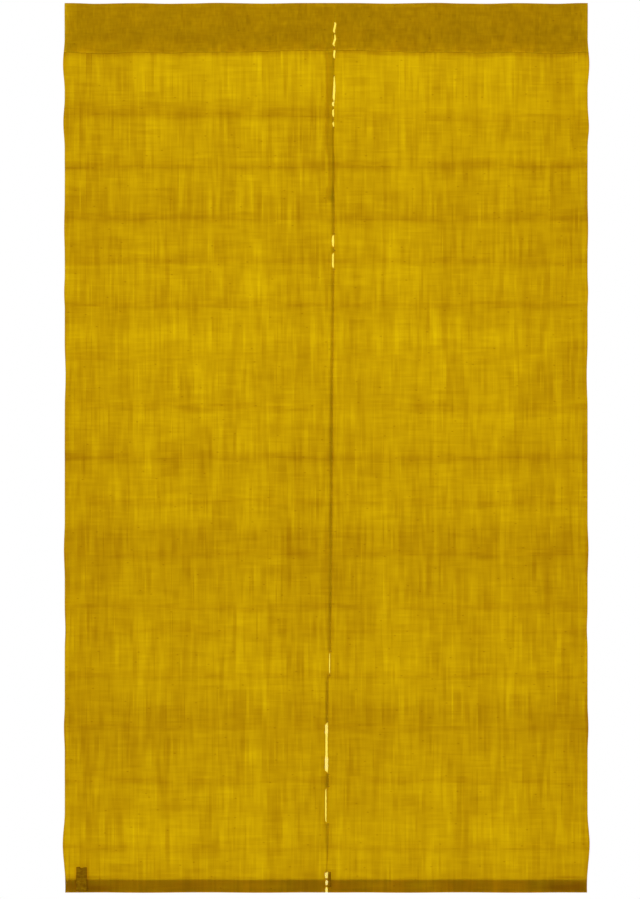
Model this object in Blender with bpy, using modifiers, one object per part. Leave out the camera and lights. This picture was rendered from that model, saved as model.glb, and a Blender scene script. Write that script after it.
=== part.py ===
"""A noren curtain of two hand-woven sheer panels, hung by a rod pocket along its top.

Metres, +Z up. The origin is the middle of the top edge, over the rod pocket. The curtain hangs down
from it and faces -Y, with +X on the viewer's right. Tables are in millimetres, and a "drop" is measured
down from the top.
"""
import math
from typing import Callable, NamedTuple

import bmesh
import bpy

MM = 0.001

# Driving sizes, in metres
WIDTH = 0.8825        # selvedge to selvedge, both panels together
DROP = 1.500          # top edge to bottom edge
HEADING = 0.0846      # top edge to the sewn lower edge of the rod pocket
HEM = 0.0220          # height of the triple-turned bottom hem
CLOTH = 0.0010        # thickness of one layer
AIR = 0.0003          # space between layers that touch
LAYER = CLOTH + AIR   # from the middle of one layer to the middle of the next
ROD_SPACE = 0.0070    # radius of the free space under the top fold
CATCH = 0.0030        # how far a panel's top edge is caught in the heading
LAP = 0.0040          # how far the closed part of the slit overlaps
LAP_AIR = 0.0005      # space between the two panels where they overlap
TIGHT_TURN = LAYER / 2    # radius of a fold that closes on itself
RAW_EDGE = 0.0055     # the raw edge inside the hem stops this far above the bottom
BEND_STEPS = 4        # flat faces round a half-turn of the hem or a tab
POCKET_STEPS = 10     # flat faces round the top fold
GAP_SHOULDER = 0.15   # share of a gap's height from its end to where it is nearly at its full width


class Crease(NamedTuple):
    """A storage fold right across the curtain. The cloth bags out above it and comes back at its line."""

    drop: float    # at the slit
    tilt: float    # how much lower it lies at the right edge than at the left
    depth: float   # how far the cloth above it bags out
    above: float   # how far above its line the cloth starts to come back


class Wave(NamedTuple):
    """A soft upright fold, which grows from nothing at the heading to its depth at the bottom."""

    across: float
    half: float
    depth: float


class Swell(NamedTuple):
    """A place where both selvedges stand out, or draw in where it is negative."""

    drop: float
    half: float
    out: float


class Point(NamedTuple):
    """A value at a place, on a line that runs smoothly through its points."""

    at: float
    value: float


class Gap(NamedTuple):
    """A stretch of the slit that stands open, between two stitches or below the seam."""

    top: float
    bottom: float
    width: float


CREASES = (
    Crease(drop=192, tilt=10, depth=3.0, above=22),
    Crease(drop=277, tilt=-2, depth=2.8, above=17),
    Crease(drop=363, tilt=2, depth=2.6, above=17),
    Crease(drop=436, tilt=0, depth=2.0, above=16),
    Crease(drop=510, tilt=0, depth=2.4, above=15),
    Crease(drop=601, tilt=0, depth=1.6, above=14),
    Crease(drop=684, tilt=2, depth=2.2, above=15),
    Crease(drop=766, tilt=0, depth=2.4, above=18),
    Crease(drop=844, tilt=0, depth=1.5, above=14),
    Crease(drop=931, tilt=0, depth=1.7, above=14),
    Crease(drop=1021, tilt=0, depth=1.6, above=14),
    Crease(drop=1061, tilt=0, depth=1.0, above=12),
    Crease(drop=1135, tilt=0, depth=1.8, above=15),
    Crease(drop=1223, tilt=0, depth=1.8, above=15),
    Crease(drop=1312, tilt=0, depth=1.6, above=14),
    Crease(drop=1427, tilt=0, depth=1.5, above=14),
)
TILT_REACH = 45.0     # mm above and below a crease that its tilt carries the weave with it

WAVES = (
    Wave(across=-385, half=75, depth=-2.2),
    Wave(across=-309, half=70, depth=3.6),
    Wave(across=-205, half=80, depth=-2.8),
    Wave(across=-116, half=70, depth=3.4),
    Wave(across=-30, half=60, depth=-1.6),
    Wave(across=62, half=60, depth=-1.8),
    Wave(across=131, half=70, depth=3.4),
    Wave(across=228, half=80, depth=-2.8),
    Wave(across=322, half=70, depth=3.2),
    Wave(across=400, half=60, depth=-1.8),
)
WAVES_START = 120.0   # mm drop at which the soft folds begin
WAVES_FULL = 900.0    # mm drop at which they reach their depth

SWELLS = (
    Swell(drop=104, half=45, out=3.0),
    Swell(drop=205, half=40, out=2.4),
    Swell(drop=380, half=45, out=1.0),
    Swell(drop=488, half=30, out=0.9),
    Swell(drop=630, half=60, out=-1.4),
    Swell(drop=923, half=50, out=1.4),
    Swell(drop=1055, half=35, out=-1.0),
    Swell(drop=1223, half=40, out=1.4),
    Swell(drop=1419, half=55, out=3.4),
    Swell(drop=1490, half=35, out=-1.0),
)

HEADING_EDGE = (      # at: mm from the centre, either way; value: mm that the lower edge hangs below HEADING
    Point(at=0, value=-2.8),
    Point(at=35, value=-3.2),
    Point(at=160, value=0.0),
    Point(at=225, value=0.0),
    Point(at=260, value=1.7),
    Point(at=315, value=0.0),
    Point(at=380, value=3.2),
    Point(at=441, value=-0.4),
)
EDGE_SETTLES = 70.0   # mm below the heading by which the weave runs level again

SLIT_LINE = (         # at: mm drop; value: mm right of the centre
    Point(at=0, value=14.6),
    Point(at=80, value=13.9),
    Point(at=200, value=12.3),
    Point(at=430, value=11.4),
    Point(at=700, value=9.4),
    Point(at=900, value=7.2),
    Point(at=1110, value=6.3),
    Point(at=1170, value=3.2),
    Point(at=1290, value=1.2),
    Point(at=1400, value=1.6),
    Point(at=1500, value=0.3),
)
GAPS = (
    Gap(top=32, bottom=55, width=3.2),
    Gap(top=56, bottom=76, width=3.0),
    Gap(top=80, bottom=96, width=3.0),
    Gap(top=122, bottom=178, width=3.4),
    Gap(top=181, bottom=195, width=2.6),
    Gap(top=200, bottom=212, width=1.8),
    Gap(top=388, bottom=414, width=3.2),
    Gap(top=419, bottom=456, width=3.0),
    Gap(top=1096, bottom=1133, width=1.8),
    Gap(top=1213, bottom=1303, width=4.2),
    Gap(top=1324, bottom=1385, width=2.2),
    Gap(top=1462, bottom=1540, width=4.4),
)
LAP_STARTS = 212.0    # mm drop below which the closed slit overlaps; above it, the edges only meet
LAP_FULL = 240.0
PART_FADES = 40.0     # mm from the slit over which the overlapping edges come back into one plane

# Stations across a panel, as shares of its width from the slit to the outer selvedge
PANEL_STATIONS = (0.0, 0.035, 0.15, 0.27, 0.39, 0.51, 0.63, 0.74, 0.84, 0.92, 1.0)
HEADING_STATIONS = (0.0, 0.18, 0.36, 0.50, 0.60, 0.72, 0.86, 1.0)
TAB_STATIONS = (0.0, 0.5, 1.0)
MOST_ROW_PITCH = 0.042
LEAST_ROW_PITCH = 0.0060

# The plain label over the hem at the lower left, and the scrap at the slit's foot
LABEL_LEFT = -0.4213
LABEL_WIDTH = 0.0180
LABEL_TOP = 1.4565
LABEL_BOTTOM = 1.4930
SCRAP_LEFT = 0.0030
SCRAP_WIDTH = 0.0056
SCRAP_TOP = 1.4645
SCRAP_BOTTOM = 1.4900

# Colours as linear red, green and blue
CLOTH_COLOUR = (0.540, 0.325, 0.002)
HEADING_COLOUR = (0.381, 0.203, 0.001)
LABEL_COLOUR = (0.194, 0.089, 0.001)
CLOTH_ROUGHNESS = 0.9

LEFT = -1
RIGHT = 1


class Spot(NamedTuple):
    """A place on the cloth's cut profile, seen from its side."""

    back: float    # metres behind the hanging sheet
    drop: float    # metres below the top edge


def clear_scene() -> None:
    """Remove every object."""
    for obj in list(bpy.data.objects):
        bpy.data.objects.remove(obj, do_unlink=True)


def ease(share: float) -> float:
    """Turn a share from 0 to 1 into one that starts and stops gently."""
    share = min(max(share, 0.0), 1.0)
    return share * share * (3.0 - 2.0 * share)


def bump(distance: float, half: float) -> float:
    """Give 1 at no distance, falling smoothly to 0 at half and beyond."""
    if abs(distance) >= half:
        return 0.0
    return 0.5 * (1.0 + math.cos(math.pi * distance / half))


def along(points: tuple[Point, ...], at: float) -> float:
    """Read a smooth line through points at one place."""
    if at <= points[0].at:
        return points[0].value
    for low, high in zip(points, points[1:]):
        if at <= high.at:
            share = ease((at - low.at) / (high.at - low.at))
            return low.value + (high.value - low.value) * share
    return points[-1].value


def slit_line(drop: float) -> float:
    """Give the slit's place across, in metres."""
    return along(SLIT_LINE, drop / MM) * MM


def slit_width(drop: float) -> float:
    """Give the width that the slit stands open, negative where the panels overlap."""
    lapped = ease((drop / MM - LAP_STARTS) / (LAP_FULL - LAP_STARTS))
    closed = AIR + (-LAP - AIR) * lapped
    for gap in GAPS:
        middle = (gap.top + gap.bottom) / 2
        half = (gap.bottom - gap.top) / 2
        share = abs(drop / MM - middle) / half
        if share < 1.0:
            opened = math.sqrt(1.0 - share * share)
            return closed + (gap.width * MM - closed) * opened
    return closed


def outer_edge(drop: float) -> float:
    """Give the distance of either selvedge from the centre."""
    swell = sum(s.out * bump(drop / MM - s.drop, s.half) for s in SWELLS)
    return WIDTH / 2 + swell * MM


def across_panel(side: int, share: float, drop: float) -> float:
    """Give a place across a panel, from its slit edge at share 0 to its selvedge at 1."""
    inner = slit_line(drop) + side * slit_width(drop) / 2
    return inner + (side * outer_edge(drop) - inner) * share


def weft_drop(across: float, drop: float) -> float:
    """Give where a weft thread truly runs, as it bows with the heading's edge and tilts with a crease."""
    settled = ease((drop - HEADING) / (EDGE_SETTLES * MM))
    pulled = ease(drop / HEADING) * (1.0 - settled)
    bow = along(HEADING_EDGE, abs(across) / MM) * MM * pulled
    half_width = WIDTH / 2
    tilt = sum(c.tilt / 2 * bump(drop / MM - c.drop, TILT_REACH) for c in CREASES)
    return drop + bow + tilt * MM * math.sin(math.pi / 2 * across / half_width)


def bagging(drop: float) -> float:
    """Give how far the cloth bags out between two creases: slowly from one, and quickly back to the next."""
    line_above = HEADING
    for crease in CREASES:
        line = crease.drop * MM
        if line_above < drop <= line:
            turn = line - crease.above * MM
            if drop <= turn:
                return crease.depth * MM * ease((drop - line_above) / (turn - line_above))
            share = (drop - turn) / (line - turn)
            return crease.depth * MM * (1.0 - share * share)
        line_above = line
    return 0.0


def relief(across: float, drop: float) -> float:
    """Give how far the sheet stands towards the viewer: its creases and its soft upright folds."""
    waves = sum(w.depth * bump(across / MM - w.across, w.half) for w in WAVES)
    grown = ease((drop / MM - WAVES_START) / (WAVES_FULL - WAVES_START))
    return bagging(drop) + waves * grown * MM


def parting(side: int, across: float, drop: float) -> float:
    """Give how far a panel's slit edge stands back, so that the left one lies over the right one."""
    lapped = ease((drop / MM - LAP_STARTS + PART_FADES) / PART_FADES)
    near = bump(across - slit_line(drop), PART_FADES * MM)
    return side * (CLOTH + LAP_AIR) / 2 * lapped * near


def hung(side: int, share: float, spot: Spot) -> tuple[float, float, float]:
    """Give the place of a point of a panel or heading, from its share across and its spot on the profile."""
    across = across_panel(side, share, spot.drop)
    back = spot.back + parting(side, across, spot.drop) - relief(across, spot.drop)
    return across, back, -weft_drop(across, spot.drop)


def half_turn(back: float, drop: float, radius: float, down: bool) -> list[Spot]:
    """Give the spots of a fold, from front to back under a hem's bottom, or back to front over a top."""
    spots = []
    for step in range(BEND_STEPS + 1):
        angle = math.pi * step / BEND_STEPS
        sideways = -math.cos(angle) if down else math.cos(angle)
        upright = math.sin(angle) if down else -math.sin(angle)
        spots.append(Spot(back + radius * sideways, drop + radius * upright))
    return spots


def wanted_rows() -> list[float]:
    """Give the drops that need a row of their own, the most needed first."""
    lines = [c.drop * MM for c in CREASES]
    ends = [g.top * MM for g in GAPS] + [g.bottom * MM for g in GAPS]
    bellies = [(g.top + g.bottom) / 2 * MM for g in GAPS]
    turns = [(c.drop - c.above * share) * MM for share in (1.0, 0.5) for c in CREASES]
    shares = (GAP_SHOULDER, 1.0 - GAP_SHOULDER)
    shoulders = [(g.top + (g.bottom - g.top) * share) * MM for g in GAPS for share in shares]
    return lines + ends + bellies + turns + shoulders


def rows_between(top: float, bottom: float) -> list[float]:
    """Give the drops of a panel's rows, close at creases and gaps and wider elsewhere."""
    rows = [top, bottom]
    for drop in wanted_rows():
        if top < drop < bottom and min(abs(drop - row) for row in rows) >= LEAST_ROW_PITCH:
            rows.append(drop)
    rows.sort()
    filled = [rows[0]]
    for low, high in zip(rows, rows[1:]):
        parts = math.ceil((high - low) / MOST_ROW_PITCH)
        filled += [low + (high - low) * part / parts for part in range(1, parts + 1)]
    return filled


def panel_profile() -> list[Spot]:
    """Give a panel's profile: down the sheet, then round its hem, which is turned up twice behind it."""
    bottom = DROP - CLOTH / 2 - LAYER
    hem_top = DROP - HEM + CLOTH / 2 + TIGHT_TURN
    sheet = [Spot(0.0, drop) for drop in rows_between(HEADING - CATCH, bottom)]
    under = half_turn(LAYER, bottom, LAYER, down=True)
    over = half_turn(LAYER + TIGHT_TURN, hem_top, TIGHT_TURN, down=False)
    turned_in = Spot(LAYER, DROP - RAW_EDGE)
    return sheet[:-1] + under + over + [turned_in]


def pocket_half(drop: float) -> float:
    """Give the distance from the pocket's middle plane to either of its layers, below the top fold."""
    radius = ROD_SPACE + CLOTH / 2
    share = (drop - radius - CLOTH / 2) / (HEADING - radius - CLOTH / 2)
    taper = 0.5 * (1.0 - share) + 0.5 * math.cos(math.pi / 2 * share)
    return LAYER + (radius - LAYER) * taper


def heading_profile() -> list[Spot]:
    """Give a heading's profile: up its front layer, over the rod's place, and down its back layer."""
    radius = ROD_SPACE + CLOTH / 2
    centre = radius + CLOTH / 2
    lips = [g.top * MM for g in GAPS] + [g.bottom * MM for g in GAPS]
    middles = [(g.top + g.bottom) / 2 * MM for g in GAPS]
    drops = sorted(d for d in lips + middles if centre < d < HEADING - LEAST_ROW_PITCH)
    drops = [centre + MOST_ROW_PITCH / 3] + drops + [HEADING]
    front = [Spot(-pocket_half(drop), drop) for drop in reversed(drops)]
    turns = (math.pi * step / POCKET_STEPS for step in range(POCKET_STEPS + 1))
    fold = [Spot(-radius * math.cos(turn), centre - radius * math.sin(turn)) for turn in turns]
    back = [Spot(pocket_half(drop), drop) for drop in drops]
    return front + fold + back


def tab_profile(top: float, bottom: float) -> list[Spot]:
    """Give the profile of a strip folded double at its top, on the front of the sheet."""
    middle = -LAYER - TIGHT_TURN
    centre = top + CLOTH / 2 + TIGHT_TURN
    hung_back = Spot(middle + TIGHT_TURN, bottom)
    hung_front = Spot(middle - TIGHT_TURN, bottom)
    return [hung_back] + half_turn(middle, centre, TIGHT_TURN, down=False) + [hung_front]


def cloth_piece(
    name: str,
    profile: list[Spot],
    stations: tuple[float, ...],
    place: Callable[[float, Spot], tuple[float, float, float]],
    finish: bpy.types.Material,
    home: bpy.types.Collection,
) -> bpy.types.Object:
    """Make one piece of cloth: a grid laid along its profile and across its stations, then thickened."""
    mesh = bpy.data.meshes.new(name)
    weave = bmesh.new()
    columns = len(stations) - 1
    rows = len(profile) - 1
    bmesh.ops.create_grid(weave, x_segments=columns, y_segments=rows, size=1.0)
    for vert in weave.verts:
        column = round((vert.co.x + 1.0) / 2.0 * columns)
        row = round((vert.co.y + 1.0) / 2.0 * rows)
        vert.co = place(stations[column], profile[row])
    weave.to_mesh(mesh)
    weave.free()
    mesh.shade_smooth()
    piece = bpy.data.objects.new(name, mesh)
    mesh.materials.append(finish)
    home.objects.link(piece)
    thickness = piece.modifiers.new("Thickness", "SOLIDIFY")
    thickness.thickness = CLOTH
    thickness.offset = 0.0
    thickness.use_even_offset = True
    return piece


def cloth_finish(name: str, colour: tuple[float, float, float]) -> bpy.types.Material:
    """Make a matt woven finish of one colour."""
    finish = bpy.data.materials.new(name)
    finish.use_nodes = True
    shader = finish.node_tree.nodes["Principled BSDF"]
    shader.inputs["Base Color"].default_value = (*colour, 1.0)
    shader.inputs["Roughness"].default_value = CLOTH_ROUGHNESS
    shader.inputs["Metallic"].default_value = 0.0
    return finish


def make_panel(side: int, home: bpy.types.Collection) -> None:
    """Make one panel with its hem."""
    name = "panel_left" if side == LEFT else "panel_right"
    cloth_piece(
        name,
        panel_profile(),
        PANEL_STATIONS,
        lambda share, spot: hung(side, share, spot),
        cloth_finish(name + "_cloth", CLOTH_COLOUR),
        home,
    )


def make_heading(side: int, home: bpy.types.Collection) -> None:
    """Make the rod pocket's strip over one panel."""
    name = "heading_left" if side == LEFT else "heading_right"
    cloth_piece(
        name,
        heading_profile(),
        HEADING_STATIONS,
        lambda share, spot: hung(side, share, spot),
        cloth_finish(name + "_cloth", HEADING_COLOUR),
        home,
    )


def make_tab(
    name: str,
    side: int,
    left: float,
    width: float,
    top: float,
    bottom: float,
    home: bpy.types.Collection,
) -> None:
    """Make a folded tab that lies on the front of a panel, over its hem."""

    def place(share: float, spot: Spot) -> tuple[float, float, float]:
        across = left + width * share
        back = spot.back + parting(side, across, spot.drop) - relief(across, spot.drop)
        return across, back, -spot.drop

    finish = cloth_finish(name + "_tape", LABEL_COLOUR)
    cloth_piece(name, tab_profile(top, bottom), TAB_STATIONS, place, finish, home)


def main() -> None:
    """Build the curtain."""
    clear_scene()
    home = bpy.data.collections.new("noren_curtain")
    bpy.context.scene.collection.children.link(home)
    for side in (LEFT, RIGHT):
        make_panel(side, home)
        make_heading(side, home)
    make_tab("side_label", LEFT, LABEL_LEFT, LABEL_WIDTH, LABEL_TOP, LABEL_BOTTOM, home)
    make_tab("corner_tab", RIGHT, SCRAP_LEFT, SCRAP_WIDTH, SCRAP_TOP, SCRAP_BOTTOM, home)


main()
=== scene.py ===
"""The looks of a noren curtain: sheer hand-woven cloth, its sewing, and a plain studio round it.

Metres, +Z up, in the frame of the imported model: the origin is the middle of the top edge, the curtain hangs
down from it and faces -Y. Tables are in millimetres, and a "drop" is measured down from the top edge.
"""
import logging
import math
from dataclasses import dataclass
from enum import Enum
from typing import Callable, Iterable, NamedTuple, TypeVar, Union

import bpy
from mathutils import Matrix, Vector, noise


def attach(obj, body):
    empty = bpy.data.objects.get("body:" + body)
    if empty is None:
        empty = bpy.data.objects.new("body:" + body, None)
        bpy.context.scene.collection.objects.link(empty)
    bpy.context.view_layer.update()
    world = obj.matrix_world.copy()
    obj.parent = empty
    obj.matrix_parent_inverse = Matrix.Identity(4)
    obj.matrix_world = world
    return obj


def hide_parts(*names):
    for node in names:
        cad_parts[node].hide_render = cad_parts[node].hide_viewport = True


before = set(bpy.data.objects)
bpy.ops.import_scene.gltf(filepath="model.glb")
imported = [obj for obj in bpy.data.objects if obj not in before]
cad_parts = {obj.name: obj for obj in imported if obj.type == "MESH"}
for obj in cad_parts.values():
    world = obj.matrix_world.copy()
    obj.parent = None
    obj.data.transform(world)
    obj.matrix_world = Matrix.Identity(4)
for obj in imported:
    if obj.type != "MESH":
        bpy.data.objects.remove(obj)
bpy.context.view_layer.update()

LOG = logging.getLogger("noren")
MM = 0.001
CLOTH_UV = "cloth"
# How close the yarns lie, together with painted shade along the creases and painted light at the heading's
# seam and slit
CLOSENESS_LIGHT_AND_SHADE = "closeness_light_and_shade"
PRESSED = "pressed"
WAVE_METRE = math.pi / 10    # metres from crest to crest of a wave texture of scale 1
STRAY, FADE, DARK = 3.5, 0.5, 7.5    # part a crease's three kinds of unevenness in the noise
# How fast the hand's unevenness comes round, in radians a stitch.
HEM_SWAY, SEAM_SWAY, SEAM_TURN, YARN_SWAY, YARN_PHASE = 2.3, 1.7, 2.9, 1.9, 2.4
TIE_SWAY, WHIP_SWAY, WHIP_TURN = 3.1, 2.1, 1.3

Place = tuple[float, float, float]
Piece = bpy.types.Object
Material = bpy.types.Material
Tree = bpy.types.NodeTree
Node = bpy.types.Node
Socket = bpy.types.NodeSocket
NodeInput = Union[float, tuple, Socket, Node]
Row = TypeVar("Row")


class Side(Enum):
    """A panel of the curtain, as the viewer sees it."""

    LEFT = -1
    RIGHT = 1


class Crease(NamedTuple):
    """A storage fold right across the curtain. The cloth bags out above it and comes back at its line."""

    drop: float     # at the slit
    tilt: float     # how much lower it lies at the right edge than at the left
    depth: float    # how far the cloth above it bags out
    above: float    # how far above its line the cloth starts to come back
    left: float     # how much darker the left panel is drawn along it: painted shade of the fold, partly pressed yarns
    right: float    # the same on the right panel


class Wave(NamedTuple):
    """A soft upright fold, which grows from nothing at the heading to its depth at the bottom."""

    across: float
    half: float
    depth: float


class Swell(NamedTuple):
    """A place where both selvedges stand out, or draw in where it is negative."""

    drop: float
    half: float
    out: float


class Point(NamedTuple):
    """A value at a place, on a line that runs smoothly through its points."""

    at: float
    value: float


class Gap(NamedTuple):
    """A stretch of the slit that stands open, between two stitches or below the seam."""

    top: float
    bottom: float
    width: float
    lean: float = 0.0    # how far its upper end stands to the right of its lower end


class Band(NamedTuple):
    """A soft band right across the cloth: weft beaten closer than its neighbours, or looser where it is
    negative. The heading's bands, and one at its seam, are painted light and shade instead.
    """

    drop: float
    half: float
    left: float
    right: float


class Stain(NamedTuple):
    """A small soft place where the cloth is doubled up, crushed or worn thin where it is negative."""

    across: float
    drop: float
    half_across: float
    half_drop: float
    amount: float


class Tie(NamedTuple):
    """A place where a few turns of thread hold the two sides of the slit together."""

    drop: float
    turns: int
    lean: float    # how much lower its right end lies


class Spot(NamedTuple):
    """A place on the cloth's cut profile, seen from its side."""

    back: float    # metres behind the hanging sheet
    drop: float    # metres below the top edge


class Patch(NamedTuple):
    """The upright patch of cloth that a piece of tape covers, in metres."""

    left: float
    width: float
    top: float
    bottom: float

    def covers(self, across: float, drop: float) -> bool:
        """Tell whether a place on the cloth is under the tape."""
        return self.left <= across <= self.left + self.width and self.top <= drop <= self.bottom


def table(kind: Callable[..., Row], *rows: tuple) -> tuple[Row, ...]:
    """Turn rows of numbers, in the order of the kind's fields, into a table."""
    return tuple(kind(*row) for row in rows)


LABEL = Patch(left=-0.4213, width=0.0180, top=1.4565, bottom=1.4980)
SCRAP = Patch(left=0.0034, width=0.0046, top=1.4645, bottom=1.4900)

CREASES = table(
    Crease,
    (192, 10, 3.0, 22, 0.17, 0.03), (277, -2, 2.8, 17, 0.197, 0.19), (365, 2, 2.6, 17, 0.185, 0.185),
    (437.5, 0, 2.0, 16, 0.112, 0.122), (511.5, 0, 2.4, 15, 0.118, 0.132), (601, 0, 1.6, 14, 0.03, 0.036),
    (684, 2, 2.2, 15, 0.085, 0.1), (768.5, 0, 2.4, 18, 0.155, 0.145), (844, 0, 1.5, 14, 0.105, 0.083),
    (931, 0, 1.7, 14, 0.058, 0.058), (1021, 0, 1.6, 14, 0.09, 0.084), (1061, 0, 1.0, 12, 0.056, 0.052),
    (1136, 0, 1.8, 15, 0.1, 0.117), (1224.5, 0, 1.8, 15, 0.096, 0.084), (1313.5, 0, 1.6, 14, 0.112, 0.084),
    (1426, 0, 1.5, 14, 0.106, 0.096),
)

WAVES = table(
    Wave,
    (-385, 75, -2.2), (-309, 70, 3.6), (-205, 80, -2.8), (-116, 70, 3.4), (-30, 60, -1.6), (62, 60, -1.8),
    (131, 70, 3.4), (228, 80, -2.8), (322, 70, 3.2), (400, 60, -1.8),
)

SWELLS = table(
    Swell,
    (104, 45, 3.0), (205, 40, 2.4), (380, 45, 1.0), (488, 30, 0.9), (630, 60, -1.4), (923, 50, 1.4),
    (1055, 35, -1.0), (1223, 40, 1.4), (1419, 55, 3.4), (1490, 35, -1.0),
)

# at: from the centre, either way; value: how far the heading's lower edge hangs below its height
HEADING_EDGE = table(
    Point,
    (0, -3.6), (35, -4.2), (160, -1.2), (225, -1.2), (260, 0.5), (315, -1.2), (380, 1.4), (441, -1.2),
)

# at: drop; value: how far the slit is right of the centre
SLIT_LINE = table(
    Point,
    (0, 14.6), (66, 14.2), (78, 13.3), (150, 13.2), (164, 12.9), (169, 11.4), (205, 11.6), (213, 12.5),
    (225, 12.0), (246, 12.0), (262, 13.2), (296, 13.2), (318, 11.0), (340, 11.5), (430, 11.2), (500, 10.5),
    (585, 9.5), (640, 8.8), (700, 8.9), (800, 8.1), (900, 7.8), (985, 7.4), (1040, 5.8), (1128, 5.5),
    (1141, 2.0), (1170, 1.9), (1211, 1.3), (1216, 0.4), (1296, 0.4), (1301, 1.7), (1321.5, 1.6),
    (1327, -0.8), (1379, -0.8), (1385, 1.3), (1440, 1.7), (1462, 0.4), (1471, 0.3), (1482, 0.8),
    (1500, 0.6),
)

GAPS = table(
    Gap,
    (34.4, 53.4, 3.3, 2.6), (56.2, 76, 2.3, 1.5), (61.6, 75.4, 3.3, 1.5), (84.6, 96.2, 2.9, 1.2),
    (126, 165.8, 1.5, 0.3), (131, 165.6, 2.6, 0.5), (138, 165.2, 3.4, 0.3), (167.2, 173.8, 3.2),
    (180.2, 191, 2.5), (201.2, 207.8, 2.0), (391.2, 411.6, 2.5), (396.5, 409.5, 3.3), (421.5, 447.5, 2.5),
    (1095, 1132, 0.85), (1103, 1125, 1.05), (1213.5, 1298.5, 3.4), (1214.5, 1236, 4.6), (1267, 1297.5, 5.0),
    (1323.5, 1382, 1.4), (1330, 1376, 2.0), (1466, 1476, 5.0), (1479.4, 1487.4, 5.0), (1490.5, 1510, 4.2),
)

# at: drop; value: the share of the full overlap that the closed slit has
LAPS = table(
    Point,
    (88, 0.0), (95, 0.06), (298, 0.06), (325, 1.0), (800, 0.95), (1060, 0.9), (1130, 0.75), (1160, 0.65),
    (1200, 0.55), (1290, 0.7), (1300, 1.0), (1408, 1.0), (1424, 0.6), (1436, 0.6), (1452, 0.06),
    (1463, 0.06), (1466, 0.0),
)

# at: drop; value: the share of the full depth by which the left edge lies in front
PARTING = table(
    Point,
    (70, 0.0), (88, 0.5), (288, 0.5), (302, 1.0), (1446, 1.0), (1460, 0.35), (1464, 0.35), (1472, 0.0),
)

# at: from the centre, either way; value: how far the top edge sags between its stiffer parts
TOP_EDGE = table(
    Point,
    (0, 0.3), (44, 0.3), (103, 1.2), (187, 0.0), (229, 1.1), (268, 1.5), (322, 0.4), (389, 1.5), (431, 0.3),
)

# The first band darkens the cloth just under the heading; the second is painted light that cancels the
# contact shadow along the heading's lower edge.
BANDS = table(
    Band,
    (84.6, 9.5, 0.28, 0.28), (85.4, 2.4, -0.12, -0.12), (115, 75, -0.10, -0.10), (165, 32, -0.02, -0.04),
    (176, 14, 0.06, -0.05), (235, 45, 0.005, -0.02), (335, 28, 0.075, 0.055), (354, 16, 0.04, 0.04),
    (400, 50, 0.02, 0.0), (458, 34, -0.045, -0.06), (496, 18, 0.0, -0.03), (545, 16, 0.0, -0.025),
    (562, 22, -0.095, -0.12), (600, 40, -0.03, -0.04), (687, 14, -0.02, -0.035), (701, 15, -0.09, -0.09),
    (740, 24, -0.03, 0.035), (778, 24, 0.055, 0.055), (920, 50, 0.15, 0.15), (894, 24, 0.09, 0.05),
    (958, 22, 0.035, 0.035), (985, 50, 0.10, 0.075), (1045, 45, 0.05, 0.02), (1120, 22, -0.05, -0.05),
    (1143, 28, -0.035, -0.04), (1172, 16, 0.05, 0.02), (1205, 38, 0.15, 0.135), (1246, 22, 0.10, 0.09),
    (1295, 20, 0.01, 0.045), (1278, 50, 0.035, 0.01), (1320, 40, -0.035, -0.035), (1358, 28, 0.04, 0.02),
    (1408, 60, -0.085, -0.10), (1448, 26, -0.035, -0.045), (1476, 6, 0.09, 0.07), (1489, 14, -0.03, -0.045),
)

# at: from the centre, either way; value: how much denser the warp is there
WARP_BANDS = table(
    Point,
    (0, 0.0), (25, 0.0), (45, 0.05), (72, 0.02), (118, -0.06), (150, -0.01), (250, 0.01), (313, -0.02),
    (345, 0.05), (390, 0.07), (408, 0.10), (425, 0.05), (440, 0.08),
)

# The crushed, handled and worn parts of the hem, and the cloth beside the slit.
STAINS = table(
    Stain,
    (-390, 1493, 44, 9, 0.28), (-415, 1486, 16, 14, 0.18), (-433, 1488, 14, 14, 0.22),
    (-240, 1489, 40, 12, 0.05), (-160, 1489, 46, 12, -0.10), (-88, 1488, 50, 14, -0.08),
    (24, 1490, 30, 12, 0.08), (85, 1486, 46, 14, -0.12), (160, 1487, 50, 14, -0.15),
    (225, 1489, 44, 12, 0.05), (362, 1484, 22, 12, -0.10), (395, 1492, 38, 10, 0.30),
    (425, 1490, 20, 12, 0.26), (408, 1473, 36, 4, 0.30), (-384, 1473, 36, 4, 0.22), (9, 178, 8, 12, -0.16),
    (10, 228, 7, 24, 0.24), (9, 322, 7, 14, 0.10), (11, 362, 6, 45, -0.12), (9, 940, 6, 120, -0.10),
)


def ease(share: float) -> float:
    """Turn a share from 0 to 1 into one that starts and stops gently."""
    share = min(max(share, 0.0), 1.0)
    return share * share * (3.0 - 2.0 * share)


def bump(distance: float, half: float) -> float:
    """Give 1 at no distance, falling smoothly to 0 at half and beyond."""
    return 0.5 * (1.0 + math.cos(math.pi * distance / half)) if abs(distance) < half else 0.0


def along(points: tuple[Point, ...], at: float) -> float:
    """Read a smooth line through points at one place.

    Args:
        points: the line's points, in order.
        at: the place to read it.

    Returns:
        The line's value there, held level past its two ends.
    """
    if at <= points[0].at:
        return points[0].value
    for low, high in zip(points, points[1:]):
        if at <= high.at:
            share = ease((at - low.at) / (high.at - low.at))
            return low.value + (high.value - low.value) * share
    return points[-1].value


def even_steps(start: float, end: float, pitch: float) -> list[float]:
    """Give evenly spaced values from start to end, both included, no further apart than pitch."""
    parts = max(1, math.ceil(abs(end - start) / pitch))
    return [start + (end - start) * part / parts for part in range(parts + 1)]


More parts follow.
